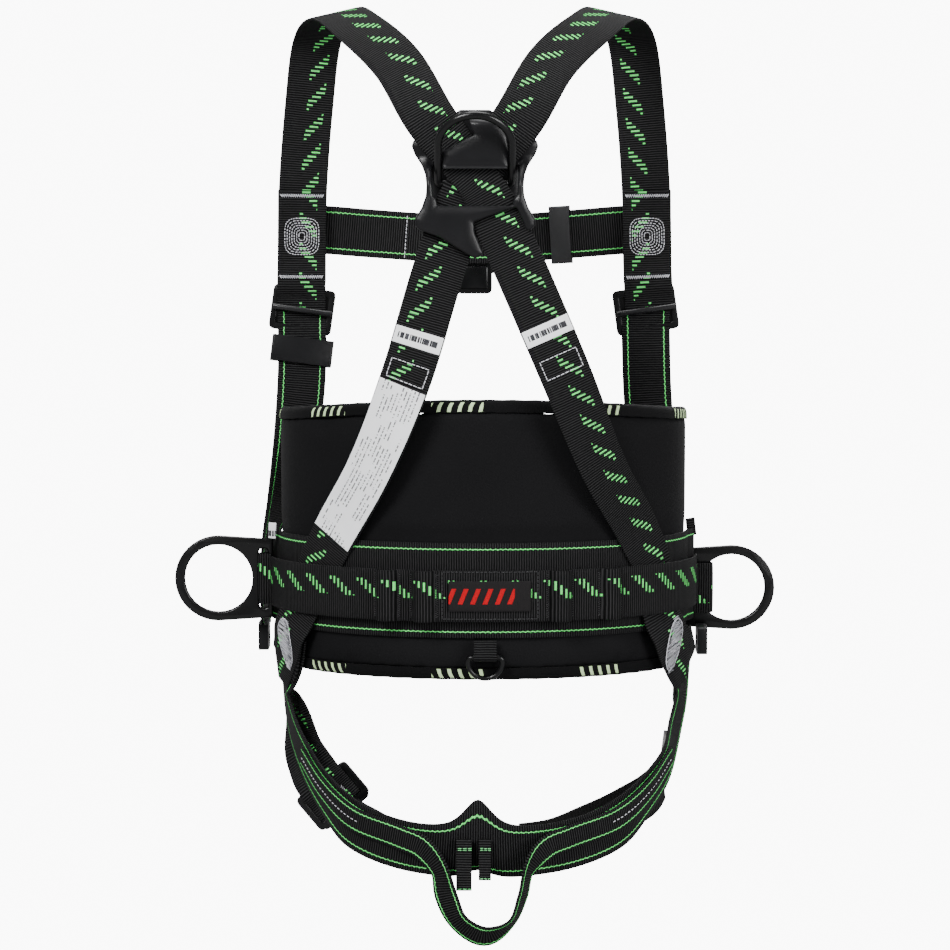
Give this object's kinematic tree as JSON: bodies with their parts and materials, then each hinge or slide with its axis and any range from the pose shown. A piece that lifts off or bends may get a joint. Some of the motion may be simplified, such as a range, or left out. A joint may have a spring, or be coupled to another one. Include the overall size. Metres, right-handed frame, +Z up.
{
  "type": "full-body work positioning harness",
  "caption": "Arborist full-body harness with a padded waist belt, crossed shoulder straps through a dorsal D-ring plate, side D-rings, chest strap and leg loops.",
  "frame": {"origin": "inner face of the lumbar pad at the middle of the back, 2 mm above the side rings' height", "axes": "+X to the wearer's right, +Y forwards through the wearer, +Z up"},
  "size_m": [0.5528, 0.3361, 0.8099],
  "materials": {
    "black_webbing": "ribbed black webbing with green woven lines",
    "pad_cloth": "smooth knit over foam",
    "binding_tape": "narrow woven tape with pale green marks",
    "black_label": "woven patch with red marks",
    "white_label": "printed white cloth label",
    "coated_metal": "satin black coat on forged metal",
    "black_plastic": "satin moulded black",
    "grey_plastic": "satin moulded dark grey"
  },
  "bodies": {
    "harness": {"lumbar_pad": "pad_cloth", "binding_top": "binding_tape", "binding_bottom": "binding_tape", "lumbar_band": "black_webbing", "waist_belt": "black_webbing", "name_patch": "black_label", "belt_end_left": "black_webbing", "belt_end_right": "black_webbing", "crossing_strap_left": "black_webbing", "crossing_strap_right": "black_webbing", "front_strap_left": "black_webbing", "front_strap_right": "black_webbing", "front_belt_left": "black_webbing", "front_belt_right": "black_webbing", "chest_strap_left": "black_webbing", "chest_strap_right": "black_webbing", "leg_strap_left": "black_webbing", "leg_strap_right": "black_webbing", "leg_strap_inner_left": "black_webbing", "leg_strap_inner_right": "black_webbing", "sub_pelvic_strap": "black_webbing", "seat_loop": "black_webbing", "strap_end_left": "black_webbing", "strap_end_right": "black_webbing", "indicator_label_left": "white_label", "indicator_label_right": "white_label", "identity_label": "white_label", "dorsal_plate": "black_plastic", "ring_tab_left": "black_webbing", "utility_ring_tab": "black_webbing", "shoulder_buckle_left": "coated_metal", "shoulder_buckle_right": "coated_metal", "chest_buckle_frame": "coated_metal", "waist_buckle_frame": "coated_metal", "leg_buckle_frame_left": "coated_metal", "leg_buckle_frame_right": "coated_metal", "hip_adjuster_left": "black_plastic", "hip_adjuster_right": "black_plastic", "size_tag": "white_label", "belt_loop_right": "black_webbing"},
    "dorsal_ring": {"dorsal_d_ring": "coated_metal"},
    "side_ring_left": {"side_d_ring_left": "coated_metal"},
    "side_ring_right": {"side_d_ring_right": "coated_metal", "ring_tab_right": "black_webbing"},
    "utility_ring": {"utility_d_ring": "coated_metal"},
    "chest_keeper_sleeve": {"chest_keeper": "grey_plastic"},
    "shoulder_keeper_sleeve": {"shoulder_keeper_left": "black_plastic"},
    "slide_bar_left": {"shoulder_slide_bar_left": "coated_metal"},
    "slide_bar_right": {"shoulder_slide_bar_right": "coated_metal"},
    "chest_plate": {"chest_buckle_plate": "coated_metal"},
    "waist_plate": {"waist_buckle_plate": "coated_metal"},
    "leg_plate_left": {"leg_buckle_plate_left": "coated_metal"},
    "leg_plate_right": {"leg_buckle_plate_right": "coated_metal"}
  },
  "joints": [
    {"name": "dorsal_d_swing", "type": "hinge", "parent": "harness", "child": "dorsal_ring", "pos_m": [-0.0075, -0.022, 0.3554], "axis": [1, 0, 0], "range_deg": [0, 90]},
    {"name": "side_d_swing_left", "type": "hinge", "parent": "harness", "child": "side_ring_left", "pos_m": [-0.1948, 0.1, -0.0025], "axis": [0, 0, 1], "range_deg": [-35, 70]},
    {"name": "side_d_swing_right", "type": "hinge", "parent": "harness", "child": "side_ring_right", "pos_m": [0.19, 0.136, -0.0154], "axis": [0, 0, 1], "range_deg": [-25, 25]},
    {"name": "utility_d_swing", "type": "hinge", "parent": "harness", "child": "utility_ring", "pos_m": [0.0015, -0.021, -0.058], "axis": [1, 0, 0], "range_deg": [-150, 0]},
    {"name": "chest_keeper_slide", "type": "slide", "parent": "harness", "child": "chest_keeper_sleeve", "axis": [-0.9673, 0.2423, -0.0748], "range_m": [-0.008, 0.008]},
    {"name": "shoulder_keeper_slide", "type": "slide", "parent": "harness", "child": "shoulder_keeper_sleeve", "axis": [0, 0.1676, 0.9859], "range_m": [-0.01, 0]},
    {"name": "shoulder_bar_slide_left", "type": "slide", "parent": "harness", "child": "slide_bar_left", "axis": [0, 0.0797, 0.9968], "range_m": [-0.005, 0.005]},
    {"name": "shoulder_bar_slide_right", "type": "slide", "parent": "harness", "child": "slide_bar_right", "axis": [0, 0.0797, 0.9968], "range_m": [-0.005, 0.005]},
    {"name": "chest_plate_hinge", "type": "hinge", "parent": "harness", "child": "chest_plate", "pos_m": [0.0095, 0.2084, 0.3], "axis": [0, 0, -1], "range_deg": [0, 60]},
    {"name": "waist_plate_hinge", "type": "hinge", "parent": "harness", "child": "waist_plate", "pos_m": [0.0095, 0.2384, -0.004], "axis": [0, 0, -1], "range_deg": [0, 60]},
    {"name": "leg_plate_hinge_left", "type": "hinge", "parent": "harness", "child": "leg_plate_left", "pos_m": [-0.12434, 0.0619, -0.21113], "axis": [-0.769, 0, -0.6392], "range_deg": [0, 50]},
    {"name": "leg_plate_hinge_right", "type": "hinge", "parent": "harness", "child": "leg_plate_right", "pos_m": [0.16582, 0.0985, -0.177], "axis": [0, -1, 0], "range_deg": [0, 20]}
  ]
}
